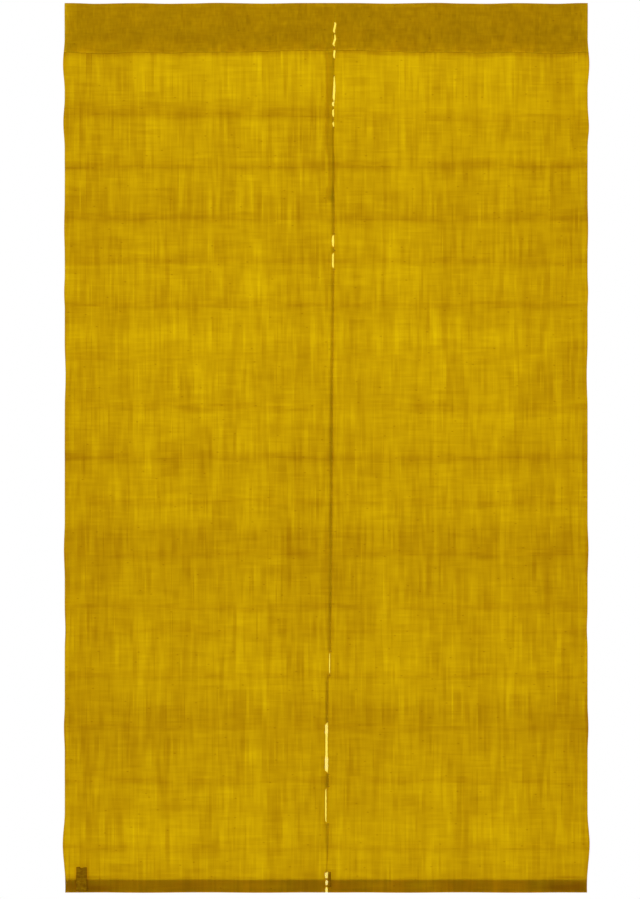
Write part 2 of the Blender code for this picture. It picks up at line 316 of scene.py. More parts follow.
@dataclass(frozen=True)
class HangingForm:
    """How the cloth hangs: the same lines and folds as the frame's solids, with finer unevenness."""

    width: float = 0.8815         # selvedge to selvedge, both panels together
    drop: float = 1.500           # top edge to bottom edge
    heading: float = 0.0846       # top edge to the sewn lower edge of the rod pocket
    hem: float = 0.0220           # height of the triple-turned bottom hem
    layer: float = 0.0008         # from the middle of one layer to the middle of the next
    rod_space: float = 0.0070     # radius of the open space under the top fold
    catch: float = 0.0004         # how far a panel's top edge is caught in the heading
    lap: float = 0.0052           # how far the closed part of the slit overlaps
    lap_depth: float = 0.0015     # from the left panel's middle to the right one's, where they overlap
    closed_gap: float = 0.00001   # between the panels' edges where they only meet
    gap_turns: float = 0.15       # the share of an open stretch in which its lean grows and fades
    gap_bluntness: float = 10.0   # how suddenly a short open stretch begins and ends
    blunt_half: float = 15.0      # mm; half of the length from which it does so the more suddenly
    part_fades: float = 40.0      # mm from the slit over which the edges come back into one plane
    tilt_reach: float = 45.0      # mm above and below a crease that its tilt carries the weave with it
    edge_settles: float = 70.0    # mm below the heading by which the weave runs level again
    waves_start: float = 120.0    # mm drop at which the soft folds begin
    waves_full: float = 900.0     # mm drop at which they reach their depth
    rumple: float = 0.55          # mm of slow unevenness of the hanging cloth
    rumple_size: float = 70.0     # mm from one high place to the next
    cockle: float = 0.16          # mm of small unevenness from the hand-spun yarn
    cockle_size: float = 16.0
    pucker: float = 0.35          # mm that the heading's seam draws the cloth in between its stitches
    pucker_pitch: float = 20.0
    pucker_reach: float = 16.0

    def slit_line(self, drop: float) -> float:
        """Give the slit's place across: a smooth line, drawn askew where it stands open.

        Args:
            drop: metres below the top edge, as in all of this class.

        Returns:
            Metres right of the centre.
        """
        across = along(SLIT_LINE, drop / MM)
        for gap in GAPS:
            share = (drop / MM - gap.top) / (gap.bottom - gap.top)
            if 0.0 < share < 1.0:
                inside = ease(min(share, 1.0 - share) / self.gap_turns)
                across += gap.lean / 2 * math.cos(math.pi * share) * inside
        return across * MM

    def lapped(self, drop: float) -> float:
        """Give how much of the full overlap the closed slit has."""
        return along(LAPS, drop / MM)

    def slit_width(self, drop: float) -> float:
        """Give the width that the slit stands open.

        Args:
            drop: the place down it.

        Returns:
            The width in metres, negative where the panels overlap.
        """
        closed = self.closed_gap - (self.lap + self.closed_gap) * self.lapped(drop)
        width = closed
        for gap in GAPS:
            half = (gap.bottom - gap.top) / 2
            share = abs(drop / MM - (gap.top + gap.bottom) / 2) / half
            if share < 1.0:
                opened = 1.0 - share ** (self.gap_bluntness * max(1.0, half / self.blunt_half))
                width = max(width, closed + (gap.width * MM - closed) * opened)
        return width

    def outer_edge(self, drop: float) -> float:
        """Give the distance of either selvedge from the centre."""
        return self.width / 2 + sum(s.out * bump(drop / MM - s.drop, s.half) for s in SWELLS) * MM

    def across_panel(self, side: Side, share: float, drop: float) -> float:
        """Give a place across a panel, from its slit edge at share 0 to its selvedge at 1."""
        inner = self.slit_line(drop) + side.value * self.slit_width(drop) / 2
        return inner + (side.value * self.outer_edge(drop) - inner) * share

    def weft_drop(self, across: float, drop: float) -> float:
        """Give where a weft thread truly runs, as it bows with the heading's edge and tilts with a crease.

        Args:
            across: metres right of the centre.
            drop: where it would run if it were straight.

        Returns:
            Its drop in metres.
        """
        settled = ease((drop - self.heading) / (self.edge_settles * MM))
        pulled = ease(drop / self.heading) * (1.0 - settled)
        bow = along(HEADING_EDGE, abs(across) / MM) * MM * pulled
        sag = along(TOP_EDGE, abs(across) / MM) * MM * (1.0 - ease(drop / self.heading))
        tilt = sum(c.tilt / 2 * bump(drop / MM - c.drop, self.tilt_reach) for c in CREASES)
        return drop + bow + sag + tilt * MM * math.sin(math.pi * across / self.width)

    def bagging(self, drop: float) -> float:
        """Give how far the cloth bags out between two creases: slowly from one, quickly back to the next.

        Args:
            drop: the place down it.

        Returns:
            Metres towards the viewer, none below the last crease.
        """
        line_above = self.heading
        for crease in CREASES:
            line = crease.drop * MM
            if line_above < drop <= line:
                turn = line - crease.above * MM
                if drop <= turn:
                    return crease.depth * MM * ease((drop - line_above) / (turn - line_above))
                share = (drop - turn) / (line - turn)
                return crease.depth * MM * (1.0 - share * share)
            line_above = line
        return 0.0

    def unevenness(self, across: float, drop: float) -> float:
        """Give the small ups and downs of a hand-woven cloth, none at the top edge and at the seams.

        Args:
            across: metres right of the centre.
            drop: the place down it.

        Returns:
            Metres towards the viewer.
        """
        free = ease((drop - self.heading) / (2 * self.pucker_reach * MM))
        near_slit = bump(across - self.slit_line(drop), self.pucker_reach * MM)
        slow = noise.noise(Vector((across, drop, 0.0)) / (self.rumple_size * MM))
        small = noise.noise(Vector((across, drop, 1.0)) / (self.cockle_size * MM))
        return (self.rumple * slow + self.cockle * small) * MM * free * (1.0 - near_slit)

    def seam_pucker(self, across: float, drop: float) -> float:
        """Give how the heading's seam draws the cloth in, a little at every stitch."""
        near = bump((drop - self.heading) / MM, self.pucker_reach)
        return self.pucker * MM * near * math.sin(2.0 * math.pi * across / (self.pucker_pitch * MM))

    def relief(self, across: float, drop: float) -> float:
        """Give how far the cloth stands towards the viewer.

        Args:
            across: metres right of the centre.
            drop: the place down it.

        Returns:
            Metres.
        """
        waves = sum(w.depth * bump(across / MM - w.across, w.half) for w in WAVES)
        grown = ease((drop / MM - self.waves_start) / (self.waves_full - self.waves_start))
        small = self.unevenness(across, drop) + self.seam_pucker(across, drop)
        return self.bagging(drop) + waves * grown * MM + small

    def parting(self, side: Side, across: float, drop: float) -> float:
        """Give how far a panel's slit edge stands back, so that the left one lies over the right one."""
        near = bump(across - self.slit_line(drop), self.part_fades * MM)
        return side.value * self.lap_depth / 2 * along(PARTING, drop / MM) * near

    def surface(self, side: Side, across: float, spot: Spot) -> Place:
        """Give the place of a spot of the profile at one place across."""
        back = spot.back + self.parting(side, across, spot.drop) - self.relief(across, spot.drop)
        return across, back, -self.weft_drop(across, spot.drop)


FORM = HangingForm()

# --- Finishes ---


def linear(colour: str) -> tuple[float, float, float, float]:
    """Turn an sRGB hex colour into linear red, green and blue with a full alpha."""
    parts = [int(colour[i : i + 2], 16) / 255 for i in (1, 3, 5)]
    return (*[p / 12.92 if p <= 0.04045 else ((p + 0.055) / 1.055) ** 2.4 for p in parts], 1.0)


def add_node(tree: Tree, kind: str, inputs: dict[Union[str, int], NodeInput], **settings: object) -> Node:
    """Add a node with its settings, its input values and its links.

    Args:
        tree: the node tree to add it to.
        kind: the node's type, without the word ShaderNode.
        inputs: for each input, by name or number, its value or the output or node that feeds it.
        **settings: the node's own properties.

    Returns:
        The new node.
    """
    node = tree.nodes.new("ShaderNode" + kind)
    for name, value in settings.items():
        setattr(node, name, value)
    for name, value in inputs.items():
        source = value.outputs[0] if isinstance(value, Node) else value
        if isinstance(source, Socket):
            tree.links.new(source, node.inputs[name])
        else:
            node.inputs[name].default_value = source
    return node


@dataclass(frozen=True)
class Finish:
    """What every finish has: a name, and nodes that end in one shader."""

    name: str

    def shade(self, tree: Tree) -> Node:
        """Add the finish's nodes and give the shader in which they end."""
        raise NotImplementedError

    def make(self) -> Material:
        """Make the material.

        Returns:
            A material that reads the piece's own cloth map, in metres, or its Object coordinates.
        """
        material = bpy.data.materials.new(self.name)
        material.use_nodes = True
        material.node_tree.nodes.clear()
        shader = self.shade(material.node_tree)
        add_node(material.node_tree, "OutputMaterial", {"Surface": shader})
        return material


@dataclass(frozen=True)
class Streaks:
    """Long streaks in the weave, where hand-spun yarns run thick or thin."""

    weft_way: float    # mm, a streak's size across the cloth
    warp_way: float    # mm, its size down the cloth
    weight: float      # how strongly it shows
    seed: float        # parts it from the other streaks
    yarns: bool        # whether it keeps to a few yarns side by side, so that its sides are clear

    def long_way(self) -> Place:
        """Give the direction in which it runs, on the cloth's map."""
        return (1.0, 0.0, 0.0) if self.weft_way > self.warp_way else (0.0, 1.0, 0.0)

    def short_way(self, step: float) -> Place:
        """Give the direction across it, as long as step."""
        return (0.0, step, 0.0) if self.weft_way > self.warp_way else (step, 0.0, 0.0)


PANEL_STREAKS = table(
    Streaks,
    (3.2, 70, 0.52, 1.7, True), (7.0, 110, 0.37, 3.3, True), (15.0, 140, 0.19, 7.9, True),
    (36.0, 260, 0.14, 5.1, False), (44, 3.0, 0.30, 9.4, True), (70, 7.0, 0.23, 12.6, True),
    (260, 13.0, 0.08, 17.9, False), (24, 22, 0.09, 14.2, False),
)

HEADING_STREAKS = table(
    Streaks,
    (2.4, 14, 0.40, 21.7, True), (5.0, 24, 0.48, 23.3, True), (11.0, 32, 0.23, 26.8, True),
    (24.0, 60, 0.06, 25.1, False), (24, 2.8, 0.34, 29.4, True), (50, 6.0, 0.28, 32.6, True),
    (34, 16, 0.15, 34.1, False),
)

# Painted light and shade across the heading's rounded pocket: lighter near the top and low down, darker at
# about 51 mm; the last row is painted light that cancels the contact shadow along the seam.
HEADING_LIGHT_AND_SHADE = table(
    Band,
    (12, 12, -0.02, -0.02), (32, 10, -0.03, -0.03), (51, 14, 0.03, 0.03), (76, 16, -0.06, -0.06),
    (85, 6, -0.24, -0.24),
)


@dataclass(frozen=True)
class SheerCloth(Finish):
    """Sheer plain weave of hand-spun bast fibre, dyed in the piece: matt, brighter with light behind it.

    A face sends back a little yellow light and lets more through. A sheet's two faces act as one layer, so a
    doubled heading and a triple hem turn darker and redder by themselves. Less comes through where the yarns
    lie closer or run thicker, and where the attribute paints shade along the creases; more comes through
    where it paints light at the heading.
    """

    front_open: str = "#CADB08"     # what one face sends back where the weave is open, and where light is painted
    front_close: str = "#CAB306"    # the same where the yarns are thick or pressed together, and in painted crease shade
    front_pressed: str = "#C99A05"  # the same on a hem that was pressed hard
    thin: str = "#FCDC35"           # what one face lets through where the weave is open, and where light is painted
    dense: str = "#C99D22"          # the same where the yarns are thick or pressed together, and in painted crease shade
    through: float = 0.80           # share of light that goes through and not back
    roughness: float = 0.85
    specular: float = 0.06          # bast fibre in a loose weave has no gloss of its own
    streaks: tuple[Streaks, ...] = PANEL_STREAKS
    plain: float = 0.5              # the density of plain cloth
    yarn_step: float = 7.31         # parts each group of yarns from the next in the noise
    group_spread: float = 2.4       # how unevenly the yarns bunch into groups, from narrow to wide
    group_change: float = 0.45      # how quickly that changes from one group to the next
    slub_length: float = 60.0       # mm from one thick lump of yarn to the next, along the weft
    slub_height: float = 30.0       # mm, up and down
    slub_reach: float = 0.05        # a lump's radius, as a share of those
    slub_rarity: float = 0.35       # how few places have one
    slub_weight: float = 0.5
    weave_pitch: float = 1.7        # mm; real yarns lie 0.9 mm apart, which is too fine to show
    weave_height: float = 0.00012   # metres
    weave_bend: float = 1.2         # how unevenly the yarns run

    def shade(self, tree: Tree) -> Node:
        """Add the nodes of the weave: one face's colour, and what it lets through.

        Args:
            tree: the material's nodes.

        Returns:
            The shader.
        """
        place = add_node(tree, "UVMap", {}, uv_map=CLOTH_UV)
        density = self.add_density(tree, place)
        weave = self.add_weave(tree, place, density)
        through = add_node(
            tree, "Mix", {0: density, 6: linear(self.thin), 7: linear(self.dense)}, data_type="RGBA"
        )
        front = add_node(
            tree, "Mix", {0: density, 6: linear(self.front_open), 7: linear(self.front_close)},
            data_type="RGBA",
        )
        pressed = add_node(tree, "Attribute", {}, attribute_name=PRESSED).outputs["Fac"]
        hem = add_node(
            tree, "Mix", {0: pressed, 6: front.outputs[2], 7: linear(self.front_pressed)}, data_type="RGBA"
        )
        back = add_node(tree, "BsdfPrincipled", {
            "Base Color": hem.outputs[2],
            "Roughness": self.roughness,
            "Specular IOR Level": self.specular,
            "Normal": weave,
        })
        onward = add_node(tree, "BsdfTranslucent", {"Color": through.outputs[2], "Normal": weave})
        return add_node(tree, "MixShader", {0: self.through, 1: back, 2: onward})

    def add_density(self, tree: Tree, place: Node) -> Node:
        """Add the nodes that say how closely the yarns lie, from the streaks, the lumps and the attribute,
        which also carries painted light and shade.

        Args:
            tree: the material's nodes.
            place: the place on the cloth, in metres.

        Returns:
            The node that holds it, about 0.5 on plain cloth.
        """
        # The attribute holds how close the yarns lie, with painted shade along the creases and painted light
        # at the heading's seam and slit.
        worn = add_node(tree, "Attribute", {}, attribute_name=CLOSENESS_LIGHT_AND_SHADE).outputs["Fac"]
        level = self.plain - 0.5 * sum(s.weight for s in self.streaks)    # a noise is 0.5 on the whole
        total = add_node(tree, "Math", {0: worn, 1: level}, operation="ADD")
        for streak in self.streaks:
            spot = self.add_spot(tree, place, streak)
            yarn = add_node(
                tree, "TexNoise", {"Vector": spot, "Scale": 1.0, "Detail": 1.0}, noise_dimensions="2D"
            )
            total = add_node(tree, "Math", {0: yarn, 1: streak.weight, 2: total}, operation="MULTIPLY_ADD")
        return self.add_slubs(tree, place, total)

    def add_spot(self, tree: Tree, place: Node, streak: Streaks) -> Node:
        """Add the nodes that place a streak's noise: drawn out its long way, and in steps across for yarns.

        Args:
            tree: the material's nodes.
            place: the place on the cloth, in metres.
            streak: the streaks to place.

        Returns:
            The node with the place in the noise.
        """
        size = (1 / (streak.weft_way * MM), 1 / (streak.warp_way * MM), 1.0)
        start = (streak.seed, streak.seed, 0.0)
        drawn = add_node(tree, "VectorMath", {0: place, 1: size, 2: start}, operation="MULTIPLY_ADD")
        if not streak.yarns:
            return drawn
        change = streak.short_way(self.group_change)
        groups = add_node(tree, "VectorMath", {0: drawn, 1: change}, operation="MULTIPLY")
        bunching = add_node(
            tree, "TexNoise", {"Vector": groups, "Scale": 1.0, "Detail": 0.0}, noise_dimensions="2D"
        )
        spread = streak.short_way(self.group_spread)
        bunched = add_node(tree, "VectorMath", {0: bunching, 1: spread, 2: drawn}, operation="MULTIPLY_ADD")
        group = add_node(tree, "VectorMath", {0: bunched}, operation="FLOOR")
        running = add_node(tree, "VectorMath", {0: drawn, 1: streak.long_way()}, operation="MULTIPLY")
        apart = streak.short_way(self.yarn_step)
        return add_node(tree, "VectorMath", {0: group, 1: apart, 2: running}, operation="MULTIPLY_ADD")

    def add_slubs(self, tree: Tree, place: Node, total: Node) -> Node:
        """Add the short thick lumps of hand-spun yarn to the density.

        Args:
            tree: the material's nodes.
            place: the place on the cloth, in metres.
            total: the density so far.

        Returns:
            The density with the lumps.
        """
        size = (1 / (self.slub_length * MM), 1 / (self.slub_height * MM), 1.0)
        spot = add_node(tree, "VectorMath", {0: place, 1: size}, operation="MULTIPLY")
        cell = add_node(tree, "TexVoronoi", {"Vector": spot, "Scale": 1.0}, voronoi_dimensions="2D")
        lump = add_node(
            tree, "MapRange",
            {0: cell.outputs["Distance"], 1: self.slub_reach, 2: 0.0, 3: 0.0, 4: self.slub_weight},
            interpolation_type="SMOOTHSTEP",
        )
        rare = add_node(
            tree, "Math", {0: cell.outputs["Color"], 1: self.slub_rarity}, operation="GREATER_THAN"
        )
        return add_node(tree, "Math", {0: lump, 1: rare, 2: total}, operation="MULTIPLY_ADD")

    def add_weave(self, tree: Tree, place: Node, density: Node) -> Node:
        """Add the raised yarns of the plain weave.

        Args:
            tree: the material's nodes.
            place: the place on the cloth, in metres.
            density: how thick the yarns are.

        Returns:
            The node that holds the bumped normal.
        """
        scale = WAVE_METRE / (self.weave_pitch * MM)
        waves = {"Vector": place, "Scale": scale, "Distortion": self.weave_bend, "Detail": 1.0}
        height = density
        for way in ("X", "Y"):
            yarn = add_node(tree, "TexWave", waves, bands_direction=way).outputs["Fac"]
            height = add_node(tree, "Math", {0: yarn, 1: height}, operation="ADD")
        return add_node(tree, "Bump", {"Height": height, "Strength": 1.0, "Distance": self.weave_height})


@dataclass(frozen=True)
class WovenTape(Finish):
    """Close-woven cotton tape, dyed darker than the cloth: matt, ribbed across, and nearly opaque."""

    front_lit: str = "#895E00"
    worn: str = "#C59A08"           # the ribs' tops, rubbed paler in places
    through_colour: str = "#B27800"
    through: float = 0.45
    roughness: float = 0.9
    specular: float = 0.04
    rib_pitch: float = 2.4          # mm; real ribs of 0.8 mm are too fine to show
    rib_height: float = 0.0002      # metres
    rib_bend: float = 2.0           # how unevenly the ribs run
    rub_size: float = 5.0           # mm from one rubbed place to the next
    unrubbed: float = 0.35          # the noise's value where the ribs are not rubbed at all
    rubbed: float = 0.65            # and where they are rubbed all over

    def shade(self, tree: Tree) -> Node:
        """Add the nodes of the ribs, their wear, and the little light that comes through.

        Args:
            tree: the material's nodes.

        Returns:
            The shader.
        """
        place = add_node(tree, "UVMap", {}, uv_map=CLOTH_UV)
        scale = WAVE_METRE / (self.rib_pitch * MM)
        waves = {"Vector": place, "Scale": scale, "Distortion": self.rib_bend, "Detail": 2.0}
        rib = add_node(tree, "TexWave", waves, bands_direction="Y").outputs["Fac"]
        blotch = add_node(
            tree, "TexNoise", {"Vector": place, "Scale": 1 / (self.rub_size * MM), "Detail": 3.0}
        )
        rubbed = add_node(tree, "MapRange", {0: blotch, 1: self.unrubbed, 2: self.rubbed, 3: 0.0, 4: 1.0})
        wear = add_node(tree, "Math", {0: rib, 1: rubbed}, operation="MULTIPLY")
        dyed = add_node(
            tree, "Mix", {0: wear, 6: linear(self.front_lit), 7: linear(self.worn)}, data_type="RGBA"
        )
        raised = add_node(tree, "Bump", {"Height": rib, "Strength": 1.0, "Distance": self.rib_height})
        back = add_node(tree, "BsdfPrincipled", {
            "Base Color": dyed.outputs[2],
            "Roughness": self.roughness,
            "Specular IOR Level": self.specular,
            "Normal": raised,
        })
        onward = add_node(tree, "BsdfTranslucent", {"Color": linear(self.through_colour)})
        return add_node(tree, "MixShader", {0: self.through, 1: back, 2: onward})


@dataclass(frozen=True)
class SewingThread(Finish):
    """Twisted bast sewing thread in the cloth's colour: a fine slanting twist and hardly any gloss."""

    shadow: str = "#C49A12"
    light: str = "#F0CF2E"
    roughness: float = 0.7
    specular: float = 0.15
    twist_pitch: float = 0.6        # mm

    def shade(self, tree: Tree) -> Node:
        """Add the nodes of the twist, on Object coordinates.

        Args:
            tree: the material's nodes.

        Returns:
            The shader.
        """
        place = add_node(tree, "TexCoord", {}).outputs["Object"]
        waves = {"Vector": place, "Scale": WAVE_METRE / (self.twist_pitch * MM)}
        twist = add_node(tree, "TexWave", waves, bands_direction="DIAGONAL").outputs["Fac"]
        dyed = add_node(
            tree, "Mix", {0: twist, 6: linear(self.shadow), 7: linear(self.light)}, data_type="RGBA"
        )
        return add_node(tree, "BsdfPrincipled", {
            "Base Color": dyed.outputs[2],
            "Roughness": self.roughness,
            "Specular IOR Level": self.specular,
        })


@dataclass(frozen=True)
class MattBoard(Finish):
    """Matt emulsion paint on board, rolled on: pale, with a faint mottle from the roller."""

    colour: str = "#E9E8E5"
    mottled: str = "#E3E2DE"
    roughness: float = 0.9
    mottle: float = 40.0            # mm

    def shade(self, tree: Tree) -> Node:
        """Add the nodes of the mottle, on Object coordinates.

        Args:
            tree: the material's nodes.

        Returns:
            The shader.
        """
        place = add_node(tree, "TexCoord", {}).outputs["Object"]
        roller = add_node(tree, "TexNoise", {"Vector": place, "Scale": 1 / (self.mottle * MM)})
        painted = add_node(
            tree, "Mix", {0: roller, 6: linear(self.colour), 7: linear(self.mottled)}, data_type="RGBA"
        )
        return add_node(
            tree, "BsdfPrincipled", {"Base Color": painted.outputs[2], "Roughness": self.roughness}
        )


# --- Cloth, stitches and threads ---


def deselect_all() -> None:
    """Deselect every object, so that an operator acts only on what is selected next."""
    if bpy.context.object and bpy.context.object.mode != "OBJECT":
        bpy.ops.object.mode_set(mode="OBJECT")
    bpy.ops.object.select_all(action="DESELECT")


@dataclass
class ClothSheet:
    """One piece of thin cloth: a flat grid that is laid along a cut profile and across its width."""

    side: Side
    form: HangingForm
    thickness: float = 0.0004
    from_bolt: float = 0.0           # metres along the bolt at which it was cut, so that its yarns differ
    columns: int = 10

    def shares(self) -> list[float]:
        """Give the places across, each a share of the width."""
        return [column / self.columns for column in range(self.columns + 1)]

    def profile(self) -> list[Spot]:
        """Give the cut profile."""
        raise NotImplementedError

    def place(self, share: float, spot: Spot) -> Place:
        """Give the place of a share of the width on one spot of the profile."""
        raise NotImplementedError

    def density(self, place: Place, spot: Spot) -> float:
        """Give how much closer than plain cloth the yarns lie."""
        return 0.0

    def pressed(self, place: Place, spot: Spot) -> float:
        """Give the share of the pressed cloth's colour."""
        return 0.0

    def lay_out(self, mesh: bpy.types.Mesh, shares: list[float], profile: list[Spot]) -> None:
        """Move a flat grid's corners to their places, and give it its map, its pressing, and its density with
        painted light and shade.

        Args:
            mesh: the grid, 2 by 2.
            shares: the places of its columns.
            profile: the spots of its rows.
        """
        lengths = [self.from_bolt]
        for before, after in zip(profile, profile[1:]):
            lengths.append(lengths[-1] + math.hypot(after.back - before.back, after.drop - before.drop))
        density = [0.0] * len(mesh.vertices)
        pressed = [0.0] * len(mesh.vertices)
        on_cloth = []
        for vert in mesh.vertices:
            column = round((vert.co.x + 1.0) / 2.0 * (len(shares) - 1))
            row = round((vert.co.y + 1.0) / 2.0 * (len(profile) - 1))
            vert.co = self.place(shares[column], profile[row])
            density[vert.index] = self.density(tuple(vert.co), profile[row])
            pressed[vert.index] = self.pressed(tuple(vert.co), profile[row])
            on_cloth.append((vert.co.x, lengths[row]))
        for name, values in ((CLOSENESS_LIGHT_AND_SHADE, density), (PRESSED, pressed)):
            mesh.attributes.new(name, "FLOAT", "POINT").data.foreach_set("value", values)
        cloth_map = mesh.uv_layers.new(name=CLOTH_UV)
        for loop in mesh.loops:
            cloth_map.data[loop.index].uv = on_cloth[loop.vertex_index]

    def build(self, name: str, finish: Material) -> Piece:
        """Lay the cloth out, dress it and thicken it.

        Args:
            name: the piece's name.
            finish: the cloth's material.

        Returns:
            The finished piece, closed all round.
        """
        deselect_all()
        shares, profile = self.shares(), self.profile()
        bpy.ops.mesh.primitive_grid_add(
            x_subdivisions=len(shares) - 1, y_subdivisions=len(profile) - 1, size=2.0, calc_uvs=False
        )
        piece = bpy.context.active_object
        piece.name = name
        piece.data.name = name
        self.lay_out(piece.data, shares, profile)
        piece.data.materials.append(finish)
        piece.data.shade_smooth()
        shell = piece.modifiers.new("Thickness", "SOLIDIFY")
        shell.thickness = self.thickness
        shell.offset = 0.0
        shell.use_even_offset = True
        bpy.ops.object.modifier_apply(modifier=shell.name)
        LOG.info("%s: %d faces", name, len(piece.data.polygons))
        return piece


def half_turn(back: float, drop: float, radius: float, down: bool) -> list[Spot]:
    """Give the spots of a fold, from front to back under a hem's bottom, or back to front over a top.

    Args:
        back: how far behind the sheet the fold's middle is.
        drop: its middle's drop.
        radius: the fold's radius.
        down: whether the fold hangs down.

    Returns:
        The spots in order.
    """
    faces = 6
    angles = [math.pi * step / faces for step in range(faces + 1)]
    way = 1 if down else -1
    return [
        Spot(back + radius * -way * math.cos(angle), drop + radius * way * math.sin(angle))
        for angle in angles
    ]


class Stitch(NamedTuple):
    """A short length of thread that shows on the cloth, between two places where it goes in."""

    middle: Place
    slant: float        # radians that it is turned from straight across, seen from the front
    length: float
    thickness: float


def sew(name: str, stitches: Iterable[Stitch], finish: Material) -> Piece:
    """Make a row of stitches as one joined piece.

    Args:
        name: the piece's name.
        stitches: the stitches to make.
        finish: the thread's material.

    Returns:
        The finished piece.
    """
    deselect_all()
    bpy.ops.mesh.primitive_uv_sphere_add(segments=8, ring_count=6, radius=0.5)
    first = bpy.context.active_object
    bpy.ops.object.mode_set(mode="EDIT")
    bpy.ops.mesh.select_all(action="SELECT")
    bpy.ops.transform.rotate(value=math.pi / 2, orient_axis="Y", center_override=(0.0, 0.0, 0.0))
    bpy.ops.object.mode_set(mode="OBJECT")
    bpy.ops.object.shade_smooth()
    grain = first.data
    bpy.data.objects.remove(first)
    made = []
    for stitch in stitches:
        copy = bpy.data.objects.new(name, grain.copy())
        bpy.context.scene.collection.objects.link(copy)
        size = Matrix.Diagonal((stitch.length, stitch.thickness, stitch.thickness, 1.0))
        turned = Matrix.Rotation(stitch.slant, 4, "Y")
        copy.matrix_world = Matrix.Translation(stitch.middle) @ turned @ size
        copy.select_set(True)
        made.append(copy)
    bpy.data.meshes.remove(grain)
    bpy.context.view_layer.objects.active = made[0]
    bpy.ops.object.join()
    bpy.ops.object.transform_apply(location=True, rotation=True, scale=True)
    row = bpy.context.active_object
    row.name = name
    row.data.name = name
    row.data.materials.append(finish)
    LOG.info("%s: %d stitches", name, len(made))
    return row


def run_threads(name: str, paths: list[list[Place]], radius: float, finish: Material) -> Piece:
    """Make loose bars of thread as one joined piece.

    Args:
        name: the piece's name.
        paths: the places that each thread runs through.
        radius: the thread's radius.
        finish: the thread's material.

    Returns:
        The finished piece, a closed tube for each thread.
    """
    deselect_all()
    line = bpy.data.curves.new(name, "CURVE")
    line.dimensions = "3D"
    line.bevel_depth = radius
    line.bevel_resolution = 1
    line.resolution_u = 4
    line.use_fill_caps = True
    for path in paths:
        spline = line.splines.new("BEZIER")
        spline.bezier_points.add(len(path) - 1)
        for knot, place in zip(spline.bezier_points, path):
            knot.co = place
            knot.handle_left_type = knot.handle_right_type = "AUTO"
    piece = bpy.data.objects.new(name, line)
    bpy.context.scene.collection.objects.link(piece)
    piece.select_set(True)
    bpy.context.view_layer.objects.active = piece
    bpy.ops.object.convert(target="MESH")
    piece = bpy.context.active_object
    bpy.ops.object.mode_set(mode="EDIT")
    bpy.ops.mesh.select_all(action="SELECT")
    bpy.ops.mesh.remove_doubles(threshold=radius / 100)
    bpy.ops.mesh.normals_make_consistent(inside=False)
    bpy.ops.object.mode_set(mode="OBJECT")
    bpy.ops.object.shade_smooth()
    piece.data.materials.clear()
    piece.data.materials.append(finish)
    LOG.info("%s: %d threads", name, len(paths))
    return piece


# --- The curtain's pieces ---


@dataclass
class LoomWidth(ClothSheet):
    """What a panel and its heading share: a loom's width of cloth on one side of the slit."""

    columns: int = 80                # the even ones, between the closer ones at the two edges
    edge: tuple[float, ...] = (0.0, 0.004, 0.009, 0.016, 0.025)
    inner: float = 0.035             # the share at which the even ones start

    def place(self, share: float, spot: Spot) -> Place:
        """Give the place of a share of the width on one spot of the profile."""
        across = self.form.across_panel(self.side, share, spot.drop)
        return self.form.surface(self.side, across, spot)

    def shares(self) -> list[float]:
        """Give the places across, closer together near the two edges."""
        middle, count = 1.0 - 2.0 * self.inner, self.columns
        spread = [self.inner + middle * column / count for column in range(count + 1)]
        return [*self.edge, *spread, *[1.0 - share for share in reversed(self.edge)]]

    def seam_places(self, drop: float, ends: float, pitch: float) -> list[float]:
        """Give the places of a seam's stitches across the width.

        Args:
            drop: where the seam runs.
            ends: how far short of either edge it stops.
            pitch: from one stitch to the next, at most.

        Returns:
            The places, from the slit to the selvedge.
        """
        inner = self.form.across_panel(self.side, 0.0, drop) + self.side.value * ends
        outer = self.form.across_panel(self.side, 1.0, drop) - self.side.value * ends
        return even_steps(inner, outer, pitch)


